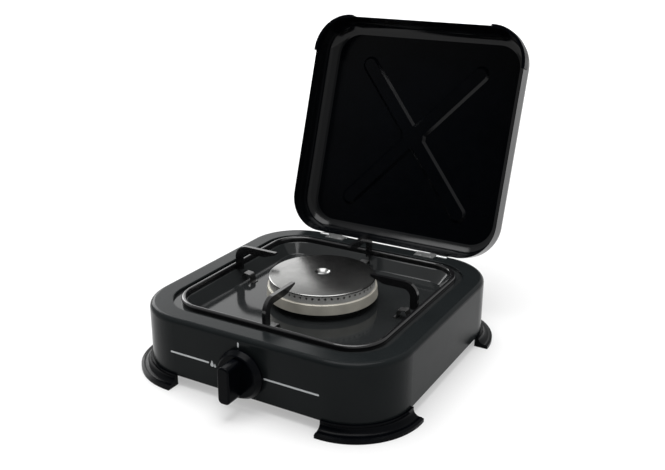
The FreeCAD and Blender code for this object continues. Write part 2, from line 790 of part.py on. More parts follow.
def valve_body():
    """Barrel of the gas tap with its inlet and outlet bosses."""
    axis = V(KNOB_X, 0, KNOB_Z)
    front = VALVE_FRONT + VALVE_PLATE
    inlet_y = VALVE_FRONT + VALVE_L / 2
    outlet = rod(INJECTOR_R + 1.5, axis + V(0, VALVE_BACK, 0), axis + V(0, VALVE_BACK + OUTLET_L, 0))
    inlet = rod(INLET_BOSS_R, axis + V(0, inlet_y, 0), axis + V(-INLET_BOSS_L, inlet_y, 0))
    barrel = rod(VALVE_R, axis + V(0, front, 0), axis + V(0, VALVE_BACK, 0))
    body = barrel.multiFuse([outlet, inlet]).removeSplitter()
    chamber = rod(CHAMBER_R, axis + V(0, front - OVER, 0), axis + V(0, CHAMBER_END, 0))
    bore = rod(STEM_R + RUN, axis + V(0, front, 0), axis + V(0, VALVE_BACK - STEM_STOP, 0))
    return body.cut([chamber, bore])


def valve_cap():
    """Front cover of the tap: a plate behind the panel and a nose through it."""
    axis = V(KNOB_X, 0, KNOB_Z)
    back = VALVE_FRONT + VALVE_PLATE
    nose = FRONT_FACE - VALVE_NOSE
    corner = axis + V(-VALVE_PLATE_W / 2, VALVE_FRONT, -VALVE_PLATE_H / 2)
    plate = Part.makeBox(VALVE_PLATE_W, VALVE_PLATE, VALVE_PLATE_H, corner)
    cover = plate.fuse(rod(NOSE_R, axis + V(0, nose, 0), axis + V(0, back, 0))).removeSplitter()
    cuts = [
        rod(CHAMBER_R, axis + V(0, CHAMBER_START, 0), axis + V(0, back + OVER, 0)),
        rod(STEM_R + RUN, axis + V(0, nose - OVER, 0), axis + V(0, back, 0)),
    ]
    for side in SIDES:
        place = axis + V(side * VALVE_SCREW_X, VALVE_FRONT - OVER, 0)
        cuts.append(rod(SMALL_SCREW_R + RUN, place, place + V(0, VALVE_PLATE + 2 * OVER, 0)))
    return cover.cut(cuts)


def valve_screws():
    """Two screws that hold the valve's plate to the panel, under the knob's skirt."""
    screws = []
    for side in SIDES:
        place = V(KNOB_X + side * VALVE_SCREW_X, FRONT_FACE, KNOB_Z)
        head = rod(SMALL_HEAD_R, place + V(0, -SMALL_HEAD_H, 0), place)
        shank = rod(SMALL_SCREW_R, place, place + V(0, SHEET + VALVE_PLATE + 1.5, 0))
        screws.append(head.fuse(shank))
    return Part.makeCompound(screws)


def valve_spring():
    """Return spring of the push-in safety catch, as a plain sleeve round the stem."""
    axis = V(KNOB_X, 0, KNOB_Z)
    return tube(CHAMBER_R - FREE, STEM_R + 0.5, axis + V(0, SPRING_START, 0), axis + V(0, CHAMBER_END, 0))


def spring_seat():
    """Washer that the spring lifts; it slides with the stem but doesn't turn."""
    start = V(KNOB_X, SEAT_START, KNOB_Z)
    return tube(CHAMBER_R - RUN, STEM_R + RUN, start, start + V(0, SEAT_T, 0))


def valve_stem():
    """Spindle from the tap into the knob, with a collar, flattened at its outer end."""
    inner = V(KNOB_X, VALVE_BACK - STEM_STOP - PUSH_TRAVEL - OVER, KNOB_Z)
    outer = V(KNOB_X, STEM_FRONT, KNOB_Z)
    collar_start = V(KNOB_X, CHAMBER_START + RUN, KNOB_Z)
    collar = rod(CHAMBER_R - FREE, collar_start, collar_start + V(0, COLLAR_T, 0))
    stem = rod(STEM_R, outer, inner).fuse(collar).removeSplitter()
    length = FRONT_FACE - SKIRT_GAP - outer.y
    corner = V(KNOB_X - STEM_R, outer.y - OVER, KNOB_Z + STEM_FLAT)
    flat = Part.makeBox(2 * STEM_R, length + OVER, STEM_R, corner)
    return stem.cut(flat)


def supply_pipe():
    """Gas pipe from the rear inlet to the side of the valve, in one plane."""
    y = VALVE_FRONT + VALVE_L / 2
    start = V(KNOB_X - INLET_BOSS_L, y, KNOB_Z)
    corner = V(PIPE_X, y, KNOB_Z)
    end = V(PIPE_X, inlet_front(), KNOB_Z)
    first, arc, last = corner_arc(start, corner, end, PIPE_BEND)
    path = Part.Wire([line(start, first), arc, line(last, end)])
    ring = Part.Wire(Part.makeCircle(PIPE_R, start, V(-1, 0, 0)))
    bore = Part.Wire(Part.makeCircle(PIPE_R - 1, start, V(-1, 0, 0)))
    outside = path.makePipeShell([ring], True, False)
    inside = path.makePipeShell([bore], True, False)
    return outside.cut(inside)


def inlet_front():
    """Inner end of the inlet fitting."""
    return BACK_FACE - SHEET - 14.0


def inlet_fitting():
    """Brass inlet: hexagon inside the wall, thread through it, smooth spigot for the hose."""
    axis = V(PIPE_X, 0, KNOB_Z)
    wall = BACK_FACE - SHEET
    spigot_end = BACK_FACE + THREAD_L + SPIGOT_L
    hex_start = axis + V(0, wall - INLET_HEX_L, 0)
    parts = [
        rod(THREAD_R, hex_start, axis + V(0, BACK_FACE + THREAD_L, 0)),
        rod(PIPE_R + 2.2, axis + V(0, inlet_front(), 0), axis + V(0, wall, 0)),
        rod(SPIGOT_R, axis + V(0, BACK_FACE, 0), axis + V(0, spigot_end, 0)),
    ]
    body = hexagon(INLET_HEX, hex_start, INLET_HEX_L).multiFuse(parts).removeSplitter()
    bore = rod(SPIGOT_R - 1.5, axis + V(0, inlet_front() - OVER, 0), axis + V(0, spigot_end + OVER, 0))
    return body.cut(bore)


def inlet_nut():
    """Nut that clamps the inlet to the rear wall."""
    start = V(PIPE_X, BACK_FACE, KNOB_Z)
    bore = rod(THREAD_R, start - V(0, OVER, 0), start + V(0, NUT_L + OVER, 0))
    return hexagon(NUT_HEX, start, NUT_L).cut(bore)


# Knob

def knob():
    """Round skirted knob with an upright bar grip."""
    back = FRONT_FACE - SKIRT_GAP
    disc = FRONT_FACE - DISC_OUT
    hollow = disc + 2.4
    hub = STEM_R + RUN + HUB_WALL
    hub_end = FRONT_FACE - VALVE_NOSE - PUSH_TRAVEL - 2 * FREE
    skirt = turned_y([
        (SKIRT_R - 2.2, back),
        (SKIRT_R, back),
        (SKIRT_R, back - 1.6),
        (DISC_R + 0.7, disc + 0.8),
        (DISC_R - 0.4, disc),
        (0, disc),
        (0, hub_end),
        (hub, hub_end),
        (hub, hollow),
        (SKIRT_R - 3.6, hollow),
    ], KNOB_X, KNOB_Z)
    solid = skirt.fuse(grip()).removeSplitter()
    bore_front = STEM_FRONT - RUN
    bore = rod(STEM_R + RUN, V(KNOB_X, bore_front, KNOB_Z), V(KNOB_X, back + OVER, KNOB_Z))
    flat = Part.makeBox(8, back - bore_front + OVER, 4, V(KNOB_X - 4, bore_front, KNOB_Z + STEM_FLAT + RUN))
    return solid.cut(bore.cut(flat))


def grip():
    """Upright bar grip with rounded ends and a softened front face."""
    front = FRONT_FACE - GRIP_OUT
    depth = GRIP_OUT - DISC_OUT + 1
    box = Part.makeBox(GRIP_T, depth, GRIP_H, V(KNOB_X - GRIP_T / 2, front, KNOB_Z - GRIP_H / 2))
    along = [e for e in box.Edges if abs(e.tangentAt(e.FirstParameter).y) > 0.99]
    bar = box.makeFillet(GRIP_END_R, along)
    face_edges = [e for e in bar.Edges if e.BoundBox.YMax < front + 1e-6]
    return bar.makeFillet(GRIP_EDGE, face_edges)


# Lid and hinges

def bead(width, low, high, flare):
    """One arm pair of the pressed cross, as a tapered capsule along X."""
    rings = []
    reach = math.hypot(*BEAD_REACH)
    for z, half in ((low, width / 2), (high, width / 2 + flare)):
        a = V(-reach, -half, z)
        b = V(reach, -half, z)
        c = V(reach, half, z)
        d = V(-reach, half, z)
        edges = [
            line(a, b),
            Part.Arc(b, V(reach + half, 0, z), c).toShape(),
            line(c, d),
            Part.Arc(d, V(-reach - half, 0, z), a).toShape(),
        ]
        rings.append(Part.Wire(edges))
    return Part.makeLoft(rings, True, True)


def boss(low, high, flare):
    """Round boss where the arms of the cross meet."""
    return Part.makeCone(BEAD_BOSS_R - flare, BEAD_BOSS_R, high - low, V(0, 0, low))


def cross(low, high, narrower):
    """The whole pressed cross as a solid between two heights."""
    turn = math.degrees(math.atan2(BEAD_REACH[1], BEAD_REACH[0]))
    arms = []
    for angle in (turn, -turn):
        arm = bead(BEAD_W - 2 * BEAD_SLOPE - 2 * narrower, low, high, BEAD_SLOPE)
        arm.rotate(V(0, 0, 0), Z_AXIS, angle)
        arms.append(arm)
    solid = arms[0].multiFuse([arms[1], boss(low, high, BEAD_SLOPE)])
    solid.translate(V(0, BEAD_BACK, 0))
    return solid


def lid_pan():
    """Pressed lid: upright walls, a broad fold with a crease, a flat top with a cross pressed in."""
    path = [
        point(0, 0),
        point(0, LID_H - CREASE_DROP),
        point(-CREASE_IN, LID_H),
        point(-LID_R + 3, LID_H),
    ]
    walls = swept_round(sheet_face(path, [LID_FOLD, 1.0], SHEET), LID_W, LID_D, LID_R)
    inset = 2 * (LID_R - 5)
    top = rounded_plate(LID_W - inset, LID_D - inset, 4.0, LID_H - SHEET, LID_H)
    pan = walls.fuse(top).removeSplitter()
    pan = pan.fuse(cross(LID_H - SHEET - BEAD_H, LID_H - SHEET, 0.0))
    pan = pan.cut(cross(LID_H - BEAD_H, LID_H, BEAD_SHEET))
    pan = pan.removeSplitter()
    pan.translate(V(0, LID_MIDDLE, LID_RIM))
    cuts = []
    for side in SIDES:
        for x in lid_rivet_places(side):
            place = V(x, LID_BACK - SHEET - OVER, LID_RIVET_Z)
            cuts.append(rod(RIVET_R + RUN, place, place + V(0, SHEET + 2 * OVER, 0)))
    return opened(pan.cut(cuts))


def lid_bumper(side):
    """Plastic cap clipped over the lid's rim at a front corner."""
    points = [
        point(BUMPER_T, BUMPER_UP),
        point(BUMPER_T, -BUMPER_LOW),
        point(-SHEET - BUMPER_T, -BUMPER_LOW),
        point(-SHEET - BUMPER_T, BUMPER_UP - 3),
        point(-SHEET, BUMPER_UP - 3),
        point(-SHEET, 0),
        point(0, 0),
        point(0, BUMPER_UP),
    ]
    solid = corner_piece(polygon_face(points), LID_W, LID_D, LID_R, side, -1, BUMPER_RUN)
    solid.translate(V(0, LID_MIDDLE, LID_RIM))
    return opened(solid)


def hinge_span(side, near, length):
    """The low end along X of a stretch of one hinge."""
    return near if side > 0 else -near - length


def body_leaf(side):
    """Leaf riveted on the body's top face, rolled round the hinge pin."""
    low = hinge_span(side, LEAF_X, LEAF_W)
    start = V(low, HINGE_Y, HINGE_Z)
    end = V(low + LEAF_W, HINGE_Y, HINGE_Z)
    plate = Part.makeBox(LEAF_W, HINGE_Y - LEAF_FRONT, LEAF_T, V(low, LEAF_FRONT, BODY_TOP))
    leaf = plate.fuse(rod(KNUCKLE_R, start, end)).removeSplitter()
    cuts = [rod(PIN_R + RUN, start - V(OVER, 0, 0), end + V(OVER, 0, 0))]
    for x in leaf_rivet_places(side):
        place = V(x, BODY_LEAF_RIVET_Y, BODY_TOP - OVER)
        cuts.append(rod(RIVET_R + RUN, place, place + V(0, 0, LEAF_T + 2 * OVER)))
    return leaf.cut(cuts)


def lid_leaf(side):
    """Leaf riveted to the lid's rear wall, with an arm down to the hinge pin."""
    tangent = HINGE_Y - KNUCKLE_R
    top = LID_RIM + LID_LEAF_UP
    path = [
        point(LID_BACK, top),
        point(LID_BACK, LID_RIM + 3.5),
        point(tangent, LID_RIM),
        point(tangent, HINGE_Z),
    ]
    near = LEAF_X + LEAF_W + FREE
    low = hinge_span(side, near, LID_LEAF_W)
    arm = sheet_face(path, [1.0, 1.0], LEAF_T).extrude(V(0, LID_LEAF_W, 0))
    arm.rotate(V(0, 0, 0), Z_AXIS, 90)
    start = V(low, HINGE_Y, HINGE_Z)
    end = V(low + LID_LEAF_W, HINGE_Y, HINGE_Z)
    box = arm.BoundBox
    arm.translate(V(low - box.XMin, 0, 0))
    wide = hinge_span(side, near - 12.0, 12.0 + LID_LEAF_W)
    plate = Part.makeBox(12.0 + LID_LEAF_W, LEAF_T, LID_LEAF_UP - 4.5, V(wide, LID_BACK, LID_RIM + 4.5))
    leaf = arm.multiFuse([plate, rod(KNUCKLE_R, start, end)]).removeSplitter()
    cuts = [rod(PIN_R + RUN, start - V(OVER, 0, 0), end + V(OVER, 0, 0))]
    for x in lid_rivet_places(side):
        place = V(x, LID_BACK - OVER, LID_RIVET_Z)
        cuts.append(rod(RIVET_R + RUN, place, place + V(0, LEAF_T + 2 * OVER, 0)))
    return opened(leaf.cut(cuts))


def hinge_pin(side):
    """Pin through both leaves, headed at its ends."""
    low = hinge_span(side, LEAF_X, HINGE_L)
    start = V(low, HINGE_Y, HINGE_Z)
    end = V(low + HINGE_L, HINGE_Y, HINGE_Z)
    clear = V(FREE, 0, 0)
    start, end = (start, end + clear) if side > 0 else (start - clear, end)
    out = V(0.6, 0, 0)
    shank = rod(PIN_R, start - out, end + out)
    heads = [rod(PIN_R + 0.6, start - out, start), rod(PIN_R + 0.6, end, end + out)]
    return shank.multiFuse(heads).removeSplitter()


def rivet(foot_point, way, grip_length):
    """A rivet with a low round head at each end of its grip."""
    far = foot_point + way * grip_length
    shank = rod(RIVET_R, foot_point, far)
    near_head = rod(RIVET_HEAD_R, foot_point - way * RIVET_HEAD_H, foot_point)
    far_head = rod(RIVET_HEAD_R, far, far + way * RIVET_HEAD_H)
    return shank.multiFuse([near_head, far_head]).removeSplitter()


def body_rivets():
    """The rivets of both body leaves."""
    rivets = []
    for side in SIDES:
        for x in leaf_rivet_places(side):
            place = V(x, BODY_LEAF_RIVET_Y, BODY_TOP - SHEET)
            rivets.append(rivet(place, Z_AXIS, SHEET + LEAF_T))
    return Part.makeCompound(rivets)


def lid_rivets():
    """The rivets of both lid leaves."""
    rivets = []
    for side in SIDES:
        for x in lid_rivet_places(side):
            place = V(x, LID_BACK - SHEET, LID_RIVET_Z)
            rivets.append(rivet(place, Y_AXIS, SHEET + LEAF_T))
    return opened(Part.makeCompound(rivets))


def build():
    """All sub-parts by name."""
    nodes = {
        "body_shell": body_shell(),
        "drip_tray": drip_tray(),
        "foot_screws": foot_screws(),
        "pan_frame": pan_frame(),
        "burner_cup": burner_cup(),
        "burner_screws": burner_screws(),
        "burner_ring": burner_ring(),
        "burner_crown": burner_crown(),
        "burner_cap": burner_cap(),
        "cap_screw": cap_screw(),
        "mixing_tube": mixing_tube(),
        "air_shutter": air_shutter(),
        "injector": injector(),
        "valve_body": valve_body(),
        "valve_cap": valve_cap(),
        "valve_screws": valve_screws(),
        "valve_spring": valve_spring(),
        "spring_seat": spring_seat(),
        "valve_stem": valve_stem(),
        "supply_pipe": supply_pipe(),
        "inlet_fitting": inlet_fitting(),
        "inlet_nut": inlet_nut(),
        "knob": knob(),
        "lid_pan": lid_pan(),
        "body_rivets": body_rivets(),
        "lid_rivets": lid_rivets(),
    }
    for name, angle in (("right", 0), ("back", 90), ("left", 180), ("front", 270)):
        nodes["finger_" + name] = finger(angle)
        nodes["grid_clip_" + name] = grid_clip(angle)
    for sy, end in ((-1, "front"), (1, "back")):
        for side in SIDES:
            nodes["foot_%s_%s" % (end, SIDE_NAMES[side])] = foot(side, sy)
    for side in SIDES:
        name = SIDE_NAMES[side]
        nodes["body_leaf_" + name] = body_leaf(side)
        nodes["lid_leaf_" + name] = lid_leaf(side)
        nodes["hinge_pin_" + name] = hinge_pin(side)
        nodes["lid_bumper_" + name] = lid_bumper(side)
    return nodes


os.makedirs("parts", exist_ok=True)
for node, shape in build().items():
    shape.exportStep("parts/%s.step" % node)
    print("%-20s solids %d valid %s volume %.1f" % (node, len(shape.Solids), shape.isValid(), shape.Volume))
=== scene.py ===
"""Looks of a single-burner table gas cooker with its lid open, on a plain white sweep."""
import bpy
import bmesh
import json
import math
from mathutils import Matrix, Vector


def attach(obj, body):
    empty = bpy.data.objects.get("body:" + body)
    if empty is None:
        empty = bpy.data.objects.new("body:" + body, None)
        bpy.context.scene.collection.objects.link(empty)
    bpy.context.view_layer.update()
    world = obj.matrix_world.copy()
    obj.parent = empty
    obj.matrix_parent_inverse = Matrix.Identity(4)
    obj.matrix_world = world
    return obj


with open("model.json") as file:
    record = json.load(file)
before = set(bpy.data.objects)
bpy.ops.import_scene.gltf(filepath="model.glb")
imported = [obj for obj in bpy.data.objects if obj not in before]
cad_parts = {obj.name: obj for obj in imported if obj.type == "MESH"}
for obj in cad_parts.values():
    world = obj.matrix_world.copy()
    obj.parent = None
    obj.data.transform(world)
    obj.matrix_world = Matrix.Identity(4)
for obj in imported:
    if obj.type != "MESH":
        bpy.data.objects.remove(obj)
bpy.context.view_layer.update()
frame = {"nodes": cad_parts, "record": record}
MM = 0.001
NODES = frame["nodes"]


# Shader helpers

NOISE_LOW = 0.3
NOISE_HIGH = 0.7
COATING_IOR = 1.5
PLAIN = (1.0, 1.0, 1.0)


def new_material(name, roughness, metallic=0.0, specular=0.5):
    """A Principled material whose plain values sit on the shader's own sockets."""
    material = bpy.data.materials.new(name)
    material.use_nodes = True
    shader = material.node_tree.nodes["Principled BSDF"]
    shader.inputs["Roughness"].default_value = roughness
    shader.inputs["Metallic"].default_value = metallic
    shader.inputs["Specular IOR Level"].default_value = specular
    shader.inputs["IOR"].default_value = COATING_IOR
    return material


def place(material, stretch=PLAIN):
    """Object coordinates in metres, stretched along the axes."""
    tree = material.node_tree
    coords = tree.nodes.new("ShaderNodeTexCoord")
    mapping = tree.nodes.new("ShaderNodeMapping")
    mapping.inputs["Scale"].default_value = stretch
    tree.links.new(coords.outputs["Object"], mapping.inputs["Vector"])
    return mapping.outputs["Vector"]


def noise(material, size, detail=2.0, stretch=PLAIN):
    """Noise whose features are about `size` metres across."""
    tree = material.node_tree
    texture = tree.nodes.new("ShaderNodeTexNoise")
    texture.inputs["Scale"].default_value = 1.0 / size
    texture.inputs["Detail"].default_value = detail
    tree.links.new(place(material, stretch), texture.inputs["Vector"])
    return texture.outputs["Fac"]


def spread(material, value, low, high):
    """Maps the middle of a noise's range onto low to high."""
    tree = material.node_tree
    scale = tree.nodes.new("ShaderNodeMapRange")
    scale.inputs["From Min"].default_value = NOISE_LOW
    scale.inputs["From Max"].default_value = NOISE_HIGH
    scale.inputs["To Min"].default_value = low
    scale.inputs["To Max"].default_value = high
    tree.links.new(value, scale.inputs["Value"])
    return scale.outputs["Result"]


def two_tone(material, value, dark, light):
    """A colour between dark and light, by value."""
    tree = material.node_tree
    ramp = tree.nodes.new("ShaderNodeValToRGB")
    ramp.color_ramp.elements[0].position = NOISE_LOW
    ramp.color_ramp.elements[0].color = tuple(dark) + (1.0,)
    ramp.color_ramp.elements[1].position = NOISE_HIGH
    ramp.color_ramp.elements[1].color = tuple(light) + (1.0,)
    tree.links.new(value, ramp.inputs["Fac"])
    return ramp.outputs["Color"]


def bumps(material, layers):
    """Stacks bump layers; each is (height value, depth in metres, strength)."""
    tree = material.node_tree
    normal = None
    for height, depth, strength in layers:
        bump = tree.nodes.new("ShaderNodeBump")
        bump.inputs["Distance"].default_value = depth
        bump.inputs["Strength"].default_value = strength
        tree.links.new(height, bump.inputs["Height"])
        if normal is not None:
            tree.links.new(normal, bump.inputs["Normal"])
        normal = bump.outputs["Normal"]
    return normal


def join(material, colour=None, roughness=None, normal=None):
    """Links the varying values to the shader."""
    tree = material.node_tree
    shader = tree.nodes["Principled BSDF"]
    if colour is not None:
        tree.links.new(colour, shader.inputs["Base Color"])
    if roughness is not None:
        tree.links.new(roughness, shader.inputs["Roughness"])
    if normal is not None:
        tree.links.new(normal, shader.inputs["Normal"])
    return material


# Materials

ENAMEL_DRIFT = 0.05
ENAMEL_SHEEN = 0.012
WAVE_SIZE = 0.06
WAVE_DEPTH = 0.0005
WAVE_STRENGTH = 0.08
PEEL_SIZE = 0.0016
PEEL_DEPTH = 0.00003
PLASTIC_DRIFT = 0.02
PLASTIC_SHEEN = 0.004
PLASTIC_GRAIN = 0.0007
PLASTIC_GRAIN_DEPTH = 0.00002
PLASTIC_GRAIN_STRENGTH = 0.25
METAL_DRIFT = 0.01
BRUSH_SIZE = 0.002
SCRATCH_DEPTH = 0.00001
SPUN_DRIFT = 0.015
RINGS_PER_METRE = 900.0
RING_DETAIL = 3.0


def enamel(name, dark, light, rough, specular, peel):
    """Stoved enamel: faint tone drift, slight orange peel, soft sheet waviness."""
    material = new_material(name, rough[0], specular=specular)
    colour = two_tone(material, noise(material, ENAMEL_DRIFT, 3.0), dark, light)
    roughness = spread(material, noise(material, ENAMEL_SHEEN, 4.0), *rough)
    normal = bumps(material, [
        (noise(material, WAVE_SIZE, 1.0), WAVE_DEPTH, WAVE_STRENGTH),
        (noise(material, PEEL_SIZE, 2.0), PEEL_DEPTH, peel),
    ])
    return join(material, colour, roughness, normal)


def moulded(name, dark, light, rough, specular):
    """Moulded plastic: fine grain and faint flow marks."""
    material = new_material(name, rough[0], specular=specular)
    colour = two_tone(material, noise(material, PLASTIC_DRIFT, 3.0), dark, light)
    roughness = spread(material, noise(material, PLASTIC_SHEEN, 4.0), *rough)
    grain = noise(material, PLASTIC_GRAIN, 2.0)
    normal = bumps(material, [(grain, PLASTIC_GRAIN_DEPTH, PLASTIC_GRAIN_STRENGTH)])
    return join(material, colour, roughness, normal)


def metal(name, dark, light, rough, stretch, grain):
    """Bare metal with a directional grain."""
    material = new_material(name, rough[0], metallic=1.0)
    colour = two_tone(material, noise(material, METAL_DRIFT, 4.0), dark, light)
    lines = noise(material, BRUSH_SIZE, 3.0, stretch)
    roughness = spread(material, lines, *rough)
    normal = bumps(material, [(lines, SCRATCH_DEPTH, grain)])
    return join(material, colour, roughness, normal)


def spun(name, dark, light, rough, grain, metallic=1.0):
    """Metal turned on a lathe: fine rings round the burner's axis."""
    material = new_material(name, rough[0], metallic=metallic)
    tree = material.node_tree
    split = tree.nodes.new("ShaderNodeSeparateXYZ")
    tree.links.new(place(material), split.inputs["Vector"])
    flat = tree.nodes.new("ShaderNodeCombineXYZ")
    tree.links.new(split.outputs["X"], flat.inputs["X"])
    tree.links.new(split.outputs["Y"], flat.inputs["Y"])
    radius = tree.nodes.new("ShaderNodeVectorMath")
    radius.operation = "LENGTH"
    tree.links.new(flat.outputs["Vector"], radius.inputs[0])
    rings = tree.nodes.new("ShaderNodeTexNoise")
    rings.noise_dimensions = "1D"
    rings.inputs["Scale"].default_value = RINGS_PER_METRE
    rings.inputs["Detail"].default_value = RING_DETAIL
    tree.links.new(radius.outputs["Value"], rings.inputs["W"])
    colour = two_tone(material, noise(material, SPUN_DRIFT, 3.0), dark, light)
    roughness = spread(material, rings.outputs["Fac"], *rough)
    normal = bumps(material, [(rings.outputs["Fac"], SCRATCH_DEPTH, grain)])
    return join(material, colour, roughness, normal)


BODY = enamel("body_enamel", (0.0076, 0.0092, 0.0098), (0.0094, 0.0112, 0.0118),
              (0.18, 0.24), 0.06, 0.10)
TRAY = enamel("tray_enamel", (0.0130, 0.0142, 0.0146), (0.0160, 0.0174, 0.0178),
              (0.08, 0.12), 0.20, 0.06)
LID = enamel("lid_enamel", (0.0005, 0.0008, 0.0014), (0.0009, 0.0013, 0.0021),
             (0.12, 0.18), 0.2, 0.08)
GRID = enamel("grid_enamel", (0.004, 0.004, 0.0045), (0.006, 0.006, 0.0065),
              (0.12, 0.18), 0.5, 0.12)
PLASTIC = moulded("black_plastic", (0.0007, 0.0010, 0.0017), (0.0013, 0.0017, 0.0026),
                  (0.16, 0.24), 0.045)
STEEL = metal("steel", (0.42, 0.43, 0.43), (0.62, 0.62, 0.62),
              (0.32, 0.46), (1.0, 12.0, 1.0), 0.2)
DULL = metal("dull_steel", (0.10, 0.10, 0.10), (0.16, 0.16, 0.16),
             (0.35, 0.48), PLAIN, 0.3)
CAP = spun("cap_metal", (0.17, 0.17, 0.167), (0.21, 0.21, 0.205), (0.20, 0.27), 0.12)
CROWN = spun("crown_metal", (0.34, 0.34, 0.33), (0.42, 0.42, 0.41), (0.40, 0.50), 0.15, 0.35)
RING = spun("ring_metal", (0.46, 0.44, 0.385), (0.58, 0.555, 0.485),
            (0.38, 0.48), 0.15, 0.35)
CAST = metal("cast_metal", (0.30, 0.30, 0.30), (0.40, 0.40, 0.39),
             (0.45, 0.60), PLAIN, 0.6)
BRASS = metal("brass", (0.60, 0.44, 0.20), (0.72, 0.54, 0.27),
              (0.22, 0.34), (1.0, 1.0, 8.0), 0.2)
INK = moulded("print", (0.52, 0.54, 0.55), (0.60, 0.62, 0.63), (0.40, 0.50), 0.3)
LOOKS = {
    "body_enamel": BODY,
    "tray_enamel": TRAY,
    "lid_enamel": LID,
    "grid_enamel": GRID,
    "black_plastic": PLASTIC,
    "steel": STEEL,
    "dull_steel": DULL,
    "cap_metal": CAP,
    "ring_metal": RING,
    "crown_metal": CROWN,
    "cast_metal": CAST,
    "brass": BRASS,
}


def dress_nodes():
    """Gives every CAD node the finish of its material slot."""
    for part in frame["record"]["subparts"]:
        node = NODES[part["node"]]
        look = LOOKS[part["material_slot"]]
        if not node.material_slots:
            node.data.materials.append(look)
        for held in node.material_slots:
            held.material = look


# Stage, light and camera

CAMERA_AT = Vector((417.3, -712.1, 427.9)) * MM
CAMERA_AZIMUTH = math.radians(29.67)
CAMERA_ELEVATION = math.radians(20.18)
CAMERA_ROLL = math.radians(0.23)
CAMERA_LENS = 47.47
CAMERA_SENSOR = 36.0
CAMERA_SEES = (0.05, 50.0)
FLOOR_HALF = 6.0
FLOOR_TONE = (0.5, 0.5, 0.5, 1.0)
WHITE = (1.0, 1.0, 1.0, 1.0)
GLOW_FROM = 0.7
GLOW_TO = 2.5
GLOW_NEAR = 0.38
GLOW_FAR = 0.9
SURROUND_DIM = 0.03
BEHIND = (-0.88, -0.45, 1.0)
BESIDE = (0.0, 0.35, 0.8)
BURNER_AT = Vector((0.0, 0.0, 0.08))
LAMPS = {
    "lamp_left": ((-1.6, 0.8, 0.85), 0.8, 12.0),
    "lamp_top": ((-0.1, 0.0, 2.2), 1.6, 42.0),
    "lamp_back": ((-1.5, 2.4, 1.1), 1.6, 9.5),
}


def make_camera():
    """The photograph's viewpoint."""
    back = Vector((
        math.sin(CAMERA_AZIMUTH) * math.cos(CAMERA_ELEVATION),
        -math.cos(CAMERA_AZIMUTH) * math.cos(CAMERA_ELEVATION),
        math.sin(CAMERA_ELEVATION),
    ))
    level = Vector((math.cos(CAMERA_AZIMUTH), math.sin(CAMERA_AZIMUTH), 0.0))
    upright = back.cross(level)
    right = level * math.cos(CAMERA_ROLL) + upright * math.sin(CAMERA_ROLL)
    up = back.cross(right)
    data = bpy.data.cameras.new("camera")
    data.lens = CAMERA_LENS
    data.sensor_width = CAMERA_SENSOR
    data.clip_start, data.clip_end = CAMERA_SEES
    camera = bpy.data.objects.new("camera", data)
    turn = Matrix((right, up, back)).transposed().to_4x4()
    camera.matrix_world = Matrix.Translation(CAMERA_AT) @ turn
    bpy.context.scene.collection.objects.link(camera)
    bpy.context.scene.camera = camera


def seen_rays(tree):
    """1 for rays from the camera, from shiny surfaces and through clear ones."""
    path = tree.nodes.new("ShaderNodeLightPath")
    total = path.outputs["Is Camera Ray"]
    for ray in ("Is Glossy Ray", "Is Transmission Ray"):
        more = tree.nodes.new("ShaderNodeMath")
        more.operation = "MAXIMUM"
        tree.links.new(total, more.inputs[0])
        tree.links.new(path.outputs[ray], more.inputs[1])
        total = more.outputs["Value"]
    return total


def distant(tree):
    """The floor's added light: a little near the stove, more where the lamps don't reach."""
    spot = tree.nodes.new("ShaderNodeNewGeometry")
    away = tree.nodes.new("ShaderNodeVectorMath")
    away.operation = "LENGTH"
    tree.links.new(spot.outputs["Position"], away.inputs[0])
    rise = tree.nodes.new("ShaderNodeMapRange")
    rise.inputs["From Min"].default_value = GLOW_FROM
    rise.inputs["From Max"].default_value = GLOW_TO
    rise.inputs["To Min"].default_value = GLOW_NEAR
    rise.inputs["To Max"].default_value = GLOW_FAR
    tree.links.new(away.outputs["Value"], rise.inputs["Value"])
    return rise.outputs["Result"]


def make_floor():
    """A wide pale floor that reads white to the camera and keeps soft shadows."""
    mesh = bpy.data.meshes.new("floor")
    corners = ((-1, -1), (1, -1), (1, 1), (-1, 1))
    mesh.from_pydata([(x * FLOOR_HALF, y * FLOOR_HALF, 0) for x, y in corners], [], [(0, 1, 2, 3)])
    floor = bpy.data.objects.new("floor", mesh)
    bpy.context.scene.collection.objects.link(floor)
    material = bpy.data.materials.new("floor_paint")
    material.use_nodes = True
    tree = material.node_tree
    tree.nodes.clear()
    output = tree.nodes.new("ShaderNodeOutputMaterial")
    plain = tree.nodes.new("ShaderNodeBsdfDiffuse")
    plain.inputs["Color"].default_value = FLOOR_TONE
    glow = tree.nodes.new("ShaderNodeEmission")
    glow.inputs["Color"].default_value = WHITE
    tree.links.new(distant(tree), glow.inputs["Strength"])
    both = tree.nodes.new("ShaderNodeAddShader")
    tree.links.new(plain.outputs["BSDF"], both.inputs[0])
    tree.links.new(glow.outputs["Emission"], both.inputs[1])
    choose = tree.nodes.new("ShaderNodeMixShader")
    tree.links.new(seen_rays(tree), choose.inputs["Fac"])
    tree.links.new(plain.outputs["BSDF"], choose.inputs[1])
    tree.links.new(both.outputs["Shader"], choose.inputs[2])
    tree.links.new(choose.outputs["Shader"], output.inputs["Surface"])
    mesh.materials.append(material)


def brighten(tree, value, low, high, full):
    """The surround's strength, from dim at low to full at high."""
    fall = tree.nodes.new("ShaderNodeMapRange")
    fall.inputs["From Min"].default_value = low
    fall.inputs["From Max"].default_value = high
    fall.inputs["To Min"].default_value = SURROUND_DIM
    fall.inputs["To Max"].default_value = full
    tree.links.new(value, fall.inputs["Value"])
    return fall.outputs["Result"]


